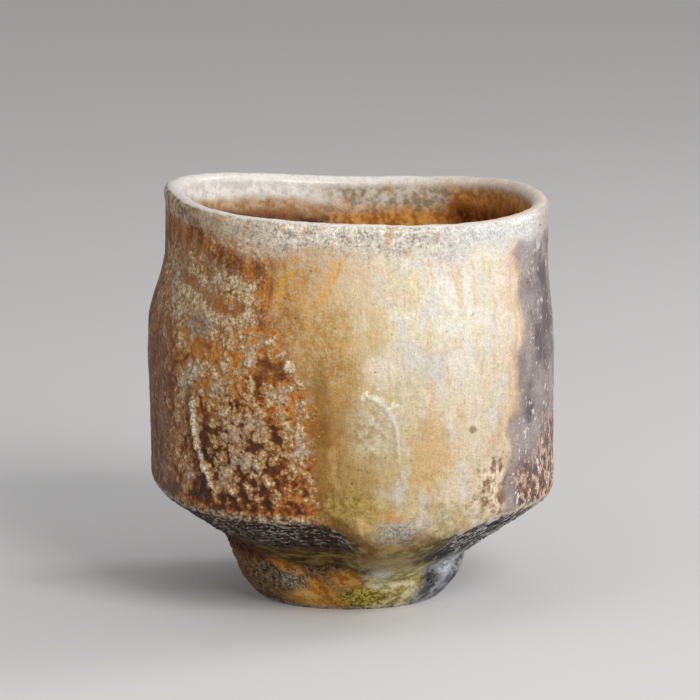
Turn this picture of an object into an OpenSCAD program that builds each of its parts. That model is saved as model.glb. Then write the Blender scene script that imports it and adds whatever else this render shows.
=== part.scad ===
// Wood-fired yunomi: a paddled stoneware wall with knife-cut under-bevels, set on a turned base
// and a trimmed foot ring, with a liner glaze inside and over the lip and an ash glaze outside.
// Z is up from the table and the front face looks along -Y. A bearing is the angle round the cup
// from the front towards +X. Each section is a soft square whose faces the paddle pressed flat.

/* [Heights] */
// Mean height of the lip above the table
rim_height = 91.4; // [84:0.1:104]
// Height of the shoulder edge, where the wall meets the under-bevels
shoulder_height = 25.3; // [22:0.1:30]
// Height of the inside floor, where the wall stands on the base
floor_height = 14; // [12:0.1:16]
// Height of the turned foot ring
foot_height = 7; // [5:0.1:9]

/* [Wall faces] */
// From the axis to the middle of the front face
front_reach = 43.5; // [38:0.1:50]
// From the axis to the middle of the right face
right_reach = 45; // [38:0.1:50]
// From the axis to the middle of the back face
back_reach = 43; // [38:0.1:50]
// From the axis to the middle of the left face
left_reach = 45; // [38:0.1:50]
// Bearing of the front face, in degrees
front_bearing = 13; // [0:1:30]
// Squareness of the section at the shoulder, where 2 is round
shoulder_squareness = 2.6; // [2.2:0.05:3.4]
// Squareness of the section at the rim, where 2 is round
rim_squareness = 2.4; // [2.1:0.05:3]

/* [Waist] */
// How far the front face draws in below the lip
front_draw = 2; // [0:0.1:4]
// How far the right face draws in below the lip
right_draw = 1; // [0:0.1:4]
// How far the back face draws in below the lip
back_draw = 2.4; // [0:0.1:4]
// How far the left face draws in below the lip
left_draw = 3.4; // [0:0.1:5]
// Depth below the lip at which the faces are drawn in fully
waist_drop = 11.4; // [8:0.1:16]
// Height over which the faces draw in
waist_run = 18; // [12:0.1:24]
// How far the left face swells out at the belly
left_swell = 0.8; // [0:0.1:2]
// Height of that swelling above the shoulder edge
belly_rise = 30.7; // [20:0.1:36]
// Half height of that swelling
belly_spread = 14; // [8:0.1:20]

/* [Rim] */
// Thickness of the clay at the lip
lip_wall = 3.2; // [2.6:0.1:4.5]
// Thickness of the clay at the shoulder
shoulder_wall = 4.8; // [4:0.1:6]
// Height of the rounding on the lip
lip_round = 1.5; // [1:0.1:2.5]
// How much higher the lip is on its high side
rim_lean = 1.1; // [0:0.05:2.5]
// Bearing of the high side of the lip
rim_lean_bearing = -97; // [-180:1:180]
// How far the two opposite corners of the lip stand up
rim_dip = 1.05; // [0:0.05:2.5]
// Bearing of the higher of those two corners
rim_dip_bearing = -84; // [-180:1:180]
// Height of the third wave of the lip
rim_ripple = 0.4; // [0:0.05:1]
// Bearing of a crest of that third wave
rim_ripple_bearing = -8; // [-60:1:60]

/* [Under-bevels] */
// Slope of the bevels from the level, in degrees
bevel_slope = 34.2; // [32:0.1:38]
// How much flatter the bevel on the left is than that on the right, either side of the mean
bevel_lean = 1.2; // [0:0.1:2]
// Thickness of the clay behind the bevels
bevel_wall = 5; // [4:0.1:6]
// Bearing of the ridge between two bevels at the front
front_ridge_bearing = 12; // [0:1:24]
// How far the shoulder edge drops at that ridge
front_ridge_drop = 7.3; // [3:0.1:8]
// Bearing of the ridge between two bevels at the back
back_ridge_bearing = 196; // [180:1:210]
// How far the shoulder edge drops at that ridge
back_ridge_drop = 6.5; // [3:0.1:8]
// Spread of a ridge on its long side, in degrees
ridge_long_spread = 25; // [18:1:32]
// Spread of a ridge on its short side, in degrees
ridge_short_spread = 14; // [8:1:20]

/* [Foot] */
// Radius of the foot ring where it stands on the table
foot_base_radius = 21; // [19:0.1:23]
// Radius of the foot ring at its top, where it meets the base
foot_top_radius = 25.8; // [24:0.1:27]
// Radius of the recess under the cup, at the table
recess_radius = 15.4; // [12:0.1:17]
// How much narrower the recess is at its ceiling
recess_draft = 0.9; // [0.2:0.1:2]
// Flare of the neck above the foot ring, from upright, in degrees
neck_flare = 16.7; // [5:0.1:24]
// Height of the neck above the foot ring
neck_height = 7.5; // [6:0.1:9]
// Height over which the bevels run out into the neck
neck_blend = 2; // [1:0.1:3]
// How far the foot sits off the middle, towards the left
foot_shift = 0.4; // [0:0.1:1.5]
// Lean of the neck to the left, in degrees
neck_lean = 4.6; // [0:0.1:8]

/* [Glaze] */
// Thickness of the liner glaze
liner_coat = 0.5; // [0.3:0.05:0.9]
// How far the liner glaze laps down the outside of the lip
liner_lap = 2.6; // [1.5:0.1:4]
// Greatest thickness of the ash glaze
ash_coat = 0.55; // [0.3:0.05:0.9]
// Left limit of the ash glaze, as a bearing
ash_from = -75; // [-110:5:-40]
// Right limit of the ash glaze, as a bearing
ash_to = 60; // [40:5:100]

/* [Hidden] */

// Columns round the cup, and columns in one spread of a fan or a curve
columns = 72;
column_angle = 360 / columns;
lip_steps = 6;
foot_steps = 8;

reaches = [front_reach, right_reach, back_reach, left_reach];
draws = [front_draw, right_draw, back_draw, left_draw];
swells = [0, 0, 0, left_swell];
face_bearings = [for (i = [0:3]) front_bearing + 90 * i];

waist_end = rim_height - waist_drop;
waist_start = waist_end - waist_run;
belly_height = shoulder_height + belly_rise;
neck_top = foot_height + neck_height;

// Roll of the shoulder edge, higher at the sides than at the front and back
shoulder_roll = 0.3;
// Sharpness of the shoulder edge, of that edge on a ridge, of the fillet over the neck and of
// the corner of the floor
edge_sharpness = 60;
ridge_sharpness = 24;
neck_sharpness = 40;
floor_sharpness = 14;
// Rate at which the neck's cone closes above its top, out of the way of the wall
neck_close = 1.5;
// Share of each coat's thickness that is left at its edge
coat_edge_share = 0.3;
// Form of the foot's outer curve
foot_curve = 1.6;

// Heights of the rings of points, as shares of the bevel, of the wall and of the inside
bevel_shares = [0, 0.3, 0.6, 0.84, 0.95, 1];
wall_shares = [0.02, 0.06, 0.15, 0.27, 0.39, 0.5, 0.6, 0.68, 0.76, 0.84, 0.92, 1];
inside_shares = [1, 0.9, 0.8, 0.69, 0.58, 0.47, 0.37, 0.29, 0.23, 0.18, 0.14, 0.1, 0.05, 0];
floor_shares = [0.75, 0.5, 0.25];
neck_shares = [0, 0.12, 0.28, 0.5, 0.75, 1];

function ease(t) = let (u = min(max(t, 0), 1)) u * u * (3 - 2 * u);
function total(list) = list * [for (x = list) 1];
function turned(angle) = angle - 360 * round(angle / 360);
function slope_of(bearing) = bevel_slope - bevel_lean * cos(bearing + 90);

// A smooth least or greatest of two radii
function least(a, b, sharpness) = pow(pow(a, -sharpness) + pow(b, -sharpness), -1 / sharpness);
function greatest(a, b, sharpness) = least(a, b, -sharpness);

function face_reach(i, z) =
    reaches[i] - draws[i] * ease((z - waist_start) / waist_run)
    + swells[i] * exp(-pow((z - belly_height) / belly_spread, 2));

function squareness(z) = let (t = (z - shoulder_height) / (rim_height - shoulder_height))
    shoulder_squareness + (rim_squareness - shoulder_squareness) * ease(t);

function wall_radius(bearing, z) = let (p = squareness(z))
    pow(total([for (i = [0:3])
        pow(max(cos(bearing - face_bearings[i]), 0) / face_reach(i, z), p)]), -1 / p);

// One ridge: a drop of the shoulder edge, steep on its short side
function ridge(offset) = offset < 0
    ? exp(-pow(-offset / ridge_short_spread, 3))
    : exp(-pow(offset / ridge_long_spread, 2));

function front_ridge(bearing) = ridge(turned(bearing - front_ridge_bearing));
function back_ridge(bearing) = ridge(turned(back_ridge_bearing - bearing));

function shoulder_line(bearing) =
    shoulder_height - shoulder_roll * cos(2 * bearing)
    - front_ridge_drop * front_ridge(bearing) - back_ridge_drop * back_ridge(bearing);

// The shoulder edge is crisp, and fades out over the ridges
function shoulder_sharpness(bearing) = edge_sharpness
    - (edge_sharpness - ridge_sharpness) * max(front_ridge(bearing), back_ridge(bearing));

function bevel_radius(bearing, z) = let (edge = shoulder_line(bearing))
    wall_radius(bearing, edge) + (z - edge) / tan(slope_of(bearing));

// The neck is a cone that leans to the left, seen from the cup's axis
function neck_radius(bearing, z) = let (
        over = max(z - neck_top, 0),
        r = foot_top_radius + (z - foot_height) * tan(neck_flare) - over * neck_close,
        shift = foot_shift + (z - foot_height) * tan(neck_lean),
        side = shift * cos(bearing))
    -shift * sin(bearing) + sqrt(max(r * r - side * side, 0));

function outer_radius(bearing, z) = let (
        neck = neck_radius(bearing, z),
        cut = least(wall_radius(bearing, z), max(bevel_radius(bearing, z), foot_height),
            shoulder_sharpness(bearing)),
        whole = greatest(max(neck, foot_height), cut, neck_sharpness))
    z > 2 * neck_top ? cut : neck + (whole - neck) * ease((z - foot_height) / neck_blend);

// The inside follows the wall and the bevels, but not the ridges
function inner_radius(bearing, z) = let (
        t = ease((rim_height - z) / (rim_height - shoulder_height)),
        upright = wall_radius(bearing, z) - lip_wall - (shoulder_wall - lip_wall) * t,
        slope = slope_of(bearing),
        cone = wall_radius(bearing, shoulder_height) - bevel_wall / sin(slope)
            + (z - shoulder_height) / tan(slope))
    least(upright, max(cone, bevel_wall), floor_sharpness);

function rim_line(bearing) =
    rim_height + rim_lean * cos(bearing - rim_lean_bearing)
    + rim_dip * cos(2 * (bearing - rim_dip_bearing))
    + rim_ripple * cos(3 * (bearing - rim_ripple_bearing));

function lip_base(bearing) = rim_line(bearing) - lip_round;

// Outlines in radius and height at one bearing, from the base up and over the lip
function bevel_outline(b) = [for (s = bevel_shares)
    let (z = floor_height + (shoulder_line(b) - floor_height) * s) [outer_radius(b, z), z]];

function face_outline(b) = [for (s = wall_shares)
    let (z = shoulder_line(b) + (lip_base(b) - liner_lap - shoulder_line(b)) * s)
    [outer_radius(b, z), z]];

function lip_outline(b) = let (
        z = lip_base(b),
        outer = outer_radius(b, z),
        inner = inner_radius(b, z))
    [for (i = [0:lip_steps - 1]) let (a = 180 * i / lip_steps)
        [(outer + inner) / 2 + (outer - inner) / 2 * cos(a), z + lip_round * sin(a)]];

function inside_outline(b) = [for (s = inside_shares)
    let (z = floor_height + (lip_base(b) - floor_height) * s) [inner_radius(b, z), z]];

function floor_outline(b) = [for (s = floor_shares) [inner_radius(b, floor_height) * s, floor_height]];

function lap_outline(b) = let (z = lip_base(b) - liner_lap) [[outer_radius(b, z), z]];

function placed(b, p) = [p[0] * sin(b), -p[0] * cos(b), p[1]];

// Points column by column, for an outline given at each bearing
function wall_loop(b) = concat(bevel_outline(b), face_outline(b), lip_outline(b), inside_outline(b));
function liner_bed(b) = concat(lap_outline(b), lip_outline(b), inside_outline(b), floor_outline(b));

// An outline moved off its bed by a coat, square to it, thinner at its first point
function coated(line, coat) = [for (i = [0:len(line) - 1])
    let (
        before = line[max(i - 1, 0)],
        after = line[min(i + 1, len(line) - 1)],
        along = (after - before) / norm(after - before),
        t = i == 0 ? coat * coat_edge_share : coat)
    line[i] + t * [along[1], -along[0]]];

// Quads between columns of a grid; the grid closes round the cup when wrap is true
function band(rows, from, columns_used, wrap, flip, closed_rows) = [
    for (c = [0:columns_used - (wrap ? 1 : 2)]) for (r = [0:rows - (closed_rows ? 1 : 2)])
        let (
            d = (c + 1) % columns_used,
            s = (r + 1) % rows,
            a0 = from + c * rows + r,
            a1 = from + c * rows + s,
            b0 = from + d * rows + r,
            b1 = from + d * rows + s)
        each (flip ? [[a0, a1, b1], [a0, b1, b0]] : [[a0, b1, a1], [a0, b0, b1]])];

// A shell between two outlines of one length that share a centre line at their last points
module coat_shell(bed, face, bed_centre, face_centre) {
    rows = len(bed[0]);
    bed_points = [for (column = bed) each column];
    face_points = [for (column = face) each column];
    shift = columns * rows;
    centre = 2 * shift;
    rim_faces = [for (c = [0:columns - 1]) let (d = (c + 1) % columns)
        each [[c * rows, shift + c * rows, shift + d * rows], [c * rows, shift + d * rows, d * rows]]];
    fan = [for (c = [0:columns - 1]) let (d = (c + 1) % columns, last = rows - 1)
        each [
            [c * rows + last, d * rows + last, centre],
            [shift + d * rows + last, shift + c * rows + last, centre + 1]]];
    polyhedron(
        points = concat(bed_points, face_points, [bed_centre, face_centre]),
        faces = concat(
            band(rows, 0, columns, true, false, false),
            band(rows, shift, columns, true, true, false),
            rim_faces, fan));
}

bearings = [for (c = [0:columns - 1]) c * column_angle];
wall_points = [for (b = bearings) each [for (p = wall_loop(b)) placed(b, p)]];

// The ash glaze lies on the faces of the wall between two bearings, thickest in its middle
ash_first = round(ash_from / column_angle);
ash_last = round(ash_to / column_angle);
ash_columns = ash_last - ash_first + 1;
ash_rows = len(wall_shares) - 1;
function ash_fade(t) = coat_edge_share + (1 - coat_edge_share) * ease(sin(180 * t) * 2);
ash_bed = [for (c = [0:ash_columns - 1]) let (b = (ash_first + c) * column_angle)
    each [for (r = [0:ash_rows - 1]) placed(b, face_outline(b)[r])]];
ash_face = [for (c = [0:ash_columns - 1]) let (b = (ash_first + c) * column_angle)
    each [for (r = [0:ash_rows - 1]) let (
            fade = ash_fade(c / (ash_columns - 1)) * ash_fade(r / (ash_rows - 1)),
            p = face_outline(b)[r])
        placed(b, p + [ash_coat * fade, 0])]];

// The plan is centred on its own outline
plan_points = concat(wall_points, ash_face);
plan_x = [for (p = plan_points) p[0]];
plan_y = [for (p = plan_points) p[1]];
plan_centre = [(min(plan_x) + max(plan_x)) / 2, (min(plan_y) + max(plan_y)) / 2, 0];

module wall() {
    color([0.55, 0.36, 0.22]) translate(-plan_centre) polyhedron(
        points = wall_points,
        faces = band(len(wall_loop(0)), 0, columns, true, false, true));
}

module base() {
    rows = len(neck_shares);
    side = [for (b = bearings) each [for (s = neck_shares)
        let (z = foot_height + (floor_height - foot_height) * s) placed(b, [outer_radius(b, z), z])]];
    centre = columns * rows;
    caps = [for (c = [0:columns - 1]) let (d = (c + 1) % columns)
        each [
            [d * rows, c * rows, centre],
            [c * rows + rows - 1, d * rows + rows - 1, centre + 1]]];
    color([0.4, 0.3, 0.22]) translate(-plan_centre) polyhedron(
        points = concat(side, [[-foot_shift, 0, foot_height], [0, 0, floor_height]]),
        faces = concat(band(rows, 0, columns, true, false, false), caps));
}

module foot_ring() {
    curve = [for (i = [0:foot_steps]) let (z = foot_height * i / foot_steps)
        [foot_top_radius - (foot_top_radius - foot_base_radius) * pow(1 - i / foot_steps, foot_curve), z]];
    recess = [[recess_radius - recess_draft, foot_height], [recess_radius, 0]];
    color([0.48, 0.36, 0.2]) translate(-plan_centre - [foot_shift, 0, 0])
        rotate_extrude($fn = 96) polygon(concat(curve, recess));
}

module liner_glaze() {
    beds = [for (b = bearings) liner_bed(b)];
    color([0.83, 0.78, 0.72]) translate(-plan_centre) coat_shell(
        [for (c = [0:columns - 1]) [for (p = beds[c]) placed(bearings[c], p)]],
        [for (c = [0:columns - 1]) [for (p = coated(beds[c], liner_coat)) placed(bearings[c], p)]],
        [0, 0, floor_height],
        [0, 0, floor_height + liner_coat]);
}

module ash_glaze() {
    shift = ash_columns * ash_rows;
    last = (ash_columns - 1) * ash_rows;
    sides = concat(
        [for (r = [0:ash_rows - 2]) each [
            [r, shift + r, shift + r + 1],
            [r, shift + r + 1, r + 1],
            [last + r, last + r + 1, shift + last + r + 1],
            [last + r, shift + last + r + 1, shift + last + r]]],
        [for (c = [0:ash_columns - 2]) let (a = c * ash_rows, b = a + ash_rows, top = ash_rows - 1)
            each [
                [a, b, shift + b],
                [a, shift + b, shift + a],
                [a + top, shift + a + top, shift + b + top],
                [a + top, shift + b + top, b + top]]]);
    color([0.8, 0.68, 0.48]) translate(-plan_centre) polyhedron(
        points = concat(ash_bed, ash_face),
        faces = concat(
            band(ash_rows, 0, ash_columns, false, true, false),
            band(ash_rows, shift, ash_columns, false, false, false),
            sides));
}

wall();
base();
foot_ring();
liner_glaze();
ash_glaze();
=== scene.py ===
from functools import cached_property
import math

import bpy
import numpy as np
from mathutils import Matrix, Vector


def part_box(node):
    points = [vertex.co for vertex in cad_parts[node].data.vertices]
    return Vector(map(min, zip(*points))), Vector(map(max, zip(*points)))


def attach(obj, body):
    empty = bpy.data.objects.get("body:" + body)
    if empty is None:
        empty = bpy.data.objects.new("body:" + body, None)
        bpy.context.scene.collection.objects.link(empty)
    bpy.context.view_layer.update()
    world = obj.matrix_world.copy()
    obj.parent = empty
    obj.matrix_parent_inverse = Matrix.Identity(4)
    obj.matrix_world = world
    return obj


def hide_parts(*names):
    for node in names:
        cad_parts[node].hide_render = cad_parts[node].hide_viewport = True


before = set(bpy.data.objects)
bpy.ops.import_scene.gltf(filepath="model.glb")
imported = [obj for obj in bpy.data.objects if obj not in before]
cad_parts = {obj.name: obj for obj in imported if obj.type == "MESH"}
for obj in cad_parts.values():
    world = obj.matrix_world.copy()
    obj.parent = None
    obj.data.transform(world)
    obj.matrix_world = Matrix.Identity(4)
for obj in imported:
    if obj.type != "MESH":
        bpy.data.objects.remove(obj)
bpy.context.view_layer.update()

# Shapes are worked out in millimetres from the cup's axis, then laid into the frame in metres.
# A bearing is the angle round the cup in degrees, from the front face towards +X.
MM = 0.001

# How far the foot ring sits to the left of the cup's axis
FOOT_SHIFT = 0.4

# Sizes read from the frame
foot_low, foot_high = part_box("foot_ring")
base_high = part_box("base")[1]
FOOT_HEIGHT = foot_high[2] / MM
FLOOR_HEIGHT = base_high[2] / MM
FOOT_TOP_RADIUS = (foot_high[0] - foot_low[0]) / 2 / MM
AXIS_X = (foot_low[0] + foot_high[0]) / 2 / MM + FOOT_SHIFT
AXIS_Y = (foot_low[1] + foot_high[1]) / 2 / MM

# Driving sizes of the clay, the same as in the part's source
RIM_HEIGHT = 91.4
SHOULDER_HEIGHT = 25.3
FACE_BEARINGS = (13, 103, 193, 283)
REACHES = (43.5, 45, 43, 45)
DRAWS = (2, 1, 2.4, 3.4)
SWELLS = (0, 0, 0, 0.8)
SHOULDER_SQUARENESS, RIM_SQUARENESS = 2.6, 2.4
WAIST_DROP, WAIST_RUN = 11.4, 18
BELLY_RISE, BELLY_SPREAD = 30.7, 14
LIP_WALL, SHOULDER_WALL, LIP_ROUND = 3.2, 4.8, 1.5
BEVEL_SLOPE, BEVEL_LEAN, BEVEL_WALL = 34.2, 1.2, 5
FRONT_RIDGE, FRONT_RIDGE_DROP = 12, 7.3
BACK_RIDGE, BACK_RIDGE_DROP = 196, 6.5
RIDGE_LONG, RIDGE_SHORT = 25, 14
SHOULDER_ROLL = 0.3
EDGE_SHARPNESS, RIDGE_SHARPNESS, NECK_SHARPNESS, FLOOR_SHARPNESS = 60, 24, 40, 14
FOOT_BASE_RADIUS, FOOT_CURVE = 21, 1.6
RECESS_RADIUS, RECESS_DRAFT = 15.4, 0.9
NECK_FLARE, NECK_LEAN, NECK_HEIGHT, NECK_BLEND, NECK_CLOSE = 16.7, 4.6, 7.5, 2, 1.5
LINER_COAT, LINER_LAP = 0.5, 2.6
ASH_COAT = 0.55

# Height, bearing and count of the waves of the lip
RIM_WAVES = ((1.1, -97, 1), (1.05, -84, 2), (0.4, -8, 3))

# Columns of points round the clay and round the liner glaze
COLUMNS, LINER_COLUMNS = 400, 360
# Rings of the wall: up to the shoulder edge, up to the lip, over the lip and down the inside
CUT_ROWS, WALL_ROWS, LIP_ROWS, INSIDE_ROWS = 38, 150, 9, 48
# Rings of the base: its underside, its outside and its top
BASE_ROWS = (40, 28, 6)
# Rings of the foot: its outside, its recess and the face that stands on the table
FOOT_ROWS = (30, 14, 10)
# Rings of the liner glaze and of its coarser back: the lap, the lip, the inside and the floor
LINER_ROWS, LINER_BACK_ROWS = (8, 22, 150, 34), (8, 10, 22, 4)
# Share of the radius at which the rings of a flat disc end, where a fan closes it
DISC_MIDDLE = 0.02
# Share of the radius at which the rings of the base's top and of the liner's floor begin
BASE_TOP_EDGE, LINER_FLOOR_EDGE = 0.9, 0.95
# Share of the foot's standing face that its rings fill, and of its height over which its relief fades in
FOOT_FACE_FILL, FOOT_FADE = 0.94, 0.25
# The ash glaze: its limits as bearings, its columns and rows, and how many of these its back skips
ASH_FROM, ASH_TO = -75, 60
ASH_COLUMNS, ASH_ROWS, ASH_STRIDE = 361, 201, 4
# How deep the backs of the two glazes are sunk in the clay
ASH_SUNK, LINER_SUNK = 0.6, 0.05
# Rings of the liner glaze that feather out below the lip, and how many of these take no relief
FEATHER_ROWS, SMOOTH_ROWS = 16, 2
# Half the distance between the points that give the direction of the outside
NORMAL_STEP = 0.05
# The angle from which an edge is shaded sharp, in degrees
SHARP_ANGLE = 70
# Gloss of bare fired clay, and the clear coats of the glazes over it
DRY_SHINE = 0.22
COAT_ROUGHNESS, ASH_GLOSS, LINER_GLOSS = 0.2, 0.15, 0.3
TINY = 1e-9


def cosine(angle):
    return np.cos(np.radians(angle))


def ease(share):
    share = np.clip(share, 0, 1)
    return share * share * (3 - 2 * share)


def turned(angle):
    return (angle + 180) % 360 - 180


def least(a, b, sharpness):
    """The smaller of two radii, with a rounded corner where they cross."""
    return (a ** -sharpness + b ** -sharpness) ** (-1 / sharpness)


def wall_radius(bearing, z):
    """The paddled soft-square section at each height."""
    share = ease((z - SHOULDER_HEIGHT) / (RIM_HEIGHT - SHOULDER_HEIGHT))
    power = SHOULDER_SQUARENESS + (RIM_SQUARENESS - SHOULDER_SQUARENESS) * share
    drawn = ease((z - (RIM_HEIGHT - WAIST_DROP - WAIST_RUN)) / WAIST_RUN)
    swollen = np.exp(-(((z - SHOULDER_HEIGHT - BELLY_RISE) / BELLY_SPREAD) ** 2))
    total = 0
    for face, reach, draw, swell in zip(FACE_BEARINGS, REACHES, DRAWS, SWELLS):
        facing = np.clip(cosine(bearing - face), TINY, None)
        total = total + (facing / (reach - draw * drawn + swell * swollen)) ** power
    return total ** (-1 / power)


def ridge(offset):
    """How far a bearing lies up a ridge between two knife cuts, steep on one side."""
    steep = np.exp(-((np.abs(offset) / RIDGE_SHORT) ** 3))
    gentle = np.exp(-((offset / RIDGE_LONG) ** 2))
    return np.where(offset < 0, steep, gentle)


def ridges(bearing):
    return ridge(turned(bearing - FRONT_RIDGE)), ridge(turned(BACK_RIDGE - bearing))


def shoulder_line(bearing):
    """Height of the edge between the wall and the cuts under it."""
    front, back = ridges(bearing)
    drop = FRONT_RIDGE_DROP * front + BACK_RIDGE_DROP * back
    return SHOULDER_HEIGHT - SHOULDER_ROLL * cosine(2 * bearing) - drop


def bevel_slope(bearing):
    return np.radians(BEVEL_SLOPE - BEVEL_LEAN * cosine(bearing + 90))


def bevel_radius(bearing, z):
    edge = shoulder_line(bearing)
    return wall_radius(bearing, edge) + (z - edge) / np.tan(bevel_slope(bearing))


def neck_radius(bearing, z):
    """The leaning cone between the foot ring and the knife cuts."""
    rise = z - FOOT_HEIGHT
    closing = np.clip(rise - NECK_HEIGHT, 0, None) * NECK_CLOSE
    radius = FOOT_TOP_RADIUS + rise * math.tan(math.radians(NECK_FLARE)) - closing
    shift = FOOT_SHIFT + rise * math.tan(math.radians(NECK_LEAN))
    across = np.clip(radius**2 - (shift * cosine(bearing)) ** 2, 0, None)
    return -shift * np.sin(np.radians(bearing)) + np.sqrt(across)


def outer_radius(bearing, z):
    front, back = ridges(bearing)
    crisp = EDGE_SHARPNESS - (EDGE_SHARPNESS - RIDGE_SHARPNESS) * np.maximum(front, back)
    cut = least(wall_radius(bearing, z), np.maximum(bevel_radius(bearing, z), FOOT_HEIGHT), crisp)
    neck = neck_radius(bearing, z)
    whole = least(np.maximum(neck, FOOT_HEIGHT), cut, -NECK_SHARPNESS)
    low = neck + (whole - neck) * ease((z - FOOT_HEIGHT) / NECK_BLEND)
    return np.where(z > 2 * (FOOT_HEIGHT + NECK_HEIGHT), cut, low)


def inner_radius(bearing, z):
    share = ease((RIM_HEIGHT - z) / (RIM_HEIGHT - SHOULDER_HEIGHT))
    upright = wall_radius(bearing, z) - LIP_WALL - (SHOULDER_WALL - LIP_WALL) * share
    slope = bevel_slope(bearing)
    edge = wall_radius(bearing, SHOULDER_HEIGHT)
    cone = edge - BEVEL_WALL / np.sin(slope) + (z - SHOULDER_HEIGHT) / np.tan(slope)
    return least(upright, np.maximum(cone, BEVEL_WALL), FLOOR_SHARPNESS)


def lip_base(bearing):
    """Height at which the lip begins to round over."""
    line = RIM_HEIGHT - LIP_ROUND
    for height, at, count in RIM_WAVES:
        line = line + height * cosine(count * (bearing - at))
    return line


def steps(first, last, count, closed=True):
    """Evenly spaced shares as a column, one for each ring of points."""
    return np.linspace(first, last, count, endpoint=closed)[:, None]


class Outline:
    """Rings of points round the cup, each with its share of relief and how far over the lip it is."""

    def __init__(self, columns):
        self.bearings = np.linspace(-180, 180, columns, endpoint=False)[None, :]
        self.rings = []

    def ring(self, radius, height, relief=1.0, turn_in=0.0):
        """Adds rings, one for each row; turn_in goes from 0 to 1 over the lip."""
        fields = np.broadcast_arrays(radius, height, relief, turn_in, self.bearings)
        self.rings.append(np.stack(fields[:4], -1))

    def outside(self, z):
        self.ring(outer_radius(self.bearings, z), z)

    def laid(self):
        """Points, heights, relief and turn_in of all the rings."""
        radius, height, relief, turn_in = np.moveaxis(np.concatenate(self.rings), -1, 0)
        return points_of(self.bearings, radius, height), height, relief, turn_in


def points_of(bearings, radius, height):
    angle = np.radians(bearings)
    return np.stack([radius * np.sin(angle), -radius * np.cos(angle), height + 0 * angle], -1)


def unit(vectors):
    return vectors / np.maximum(np.linalg.norm(vectors, axis=-1, keepdims=True), TINY)


def outward(points, closed_columns, closed_rows):
    """Unit vectors square to a grid of points, by differences along its rows and columns."""
    along = np.gradient(points, axis=0)
    if closed_rows:
        along = (np.roll(points, -1, 0) - np.roll(points, 1, 0)) / 2
    around = np.gradient(points, axis=1)
    if closed_columns:
        around = (np.roll(points, -1, 1) - np.roll(points, 1, 1)) / 2
    return unit(np.cross(around, along))


def outer_normal(bearing, height):
    """Unit vectors square to the clay's outside, the same for pieces that meet there."""
    step = NORMAL_STEP
    turn = math.degrees(step / REACHES[0])

    def at(b, z):
        return points_of(b, outer_radius(b, z), z)

    around = at(bearing + turn, height) - at(bearing - turn, height)
    up = at(bearing, height + step) - at(bearing, height - step)
    return unit(np.cross(around, up))


def quads(rows, columns, closed_rows, closed_columns, first=0):
    """Faces of a grid whose points are stored ring by ring."""
    row = np.arange(rows if closed_rows else rows - 1)
    column = np.arange(columns if closed_columns else columns - 1)
    row, column = np.meshgrid(row, column, indexing="ij")
    above, beside = (row + 1) % rows, (column + 1) % columns
    low, high = row * columns + first, above * columns + first
    corners = (low + column, low + beside, high + beside, high + column)
    return np.stack(corners, -1).reshape(-1, 4).tolist()


def fan(ring, centre, flip=False):
    """Triangles from a ring of points to one point."""
    ring = list(ring)
    pairs = zip(ring, ring[1:] + ring[:1])
    return [(b, a, centre) if flip else (a, b, centre) for a, b in pairs]


def flat(grid):
    return grid.reshape(-1, 3)


def joined(*parts):
    """Points or normals of several grids as one list."""
    return np.concatenate([flat(np.asarray(part, float)) for part in parts])


def raised(obj, height_of):
    """The mesh of an object after its relief."""
    shaped = obj.modifiers.new("relief", "NODES")
    shaped.node_group = relief_tree(obj.name + "_relief", height_of)
    bpy.context.view_layer.update()
    graph = bpy.context.evaluated_depsgraph_get()
    mesh = bpy.data.meshes.new_from_object(
        obj.evaluated_get(graph), preserve_all_data_layers=True, depsgraph=graph
    )
    obj.modifiers.clear()
    return mesh


def piece(name, node, material, height_of, points, faces, normals, relief, turn_in=0.0):
    """A dressed piece that stands for a node, with the fields that its relief and finish follow."""
    points = flat(points)
    mesh = bpy.data.meshes.new(name)
    mesh.from_pydata(((points + np.array([AXIS_X, AXIS_Y, 0])) * MM).tolist(), [], faces)
    for field, vectors in (("place", points), ("outward", flat(normals))):
        layer = mesh.attributes.new(field, "FLOAT_VECTOR", "POINT")
        layer.data.foreach_set("vector", vectors.astype(np.float32).ravel())
    bearing = np.degrees(np.arctan2(points[:, 0], -points[:, 1]))
    fields = {
        "relief": relief,
        "turn_in": turn_in,
        "above_edge": points[:, 2] - shoulder_line(bearing),
        "below_lip": lip_base(bearing) + LIP_ROUND - points[:, 2],
    }
    for field, values in fields.items():
        values = np.broadcast_to(np.ravel(values), len(points))
        layer = mesh.attributes.new(field, "FLOAT", "POINT")
        layer.data.foreach_set("value", values.astype(np.float32))
    obj = bpy.data.objects.new(name, mesh)
    bpy.context.scene.collection.objects.link(obj)
    obj.data = raised(obj, height_of)
    obj.data.name = name
    obj.data.shade_smooth()
    obj.data.set_sharp_from_angle(angle=math.radians(SHARP_ANGLE))
    obj.data.materials.clear()
    obj.data.materials.append(material)
    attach(obj, "root")
    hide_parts(node)


def tint(red, green, blue):
    """A colour written in the photograph's 0 to 255 steps, as linear light."""
    shares = [v / 255 for v in (red, green, blue)]
    return tuple(v / 12.92 if v <= 0.04045 else ((v + 0.055) / 1.055) ** 2.4 for v in shares) + (1.0,)


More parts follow.
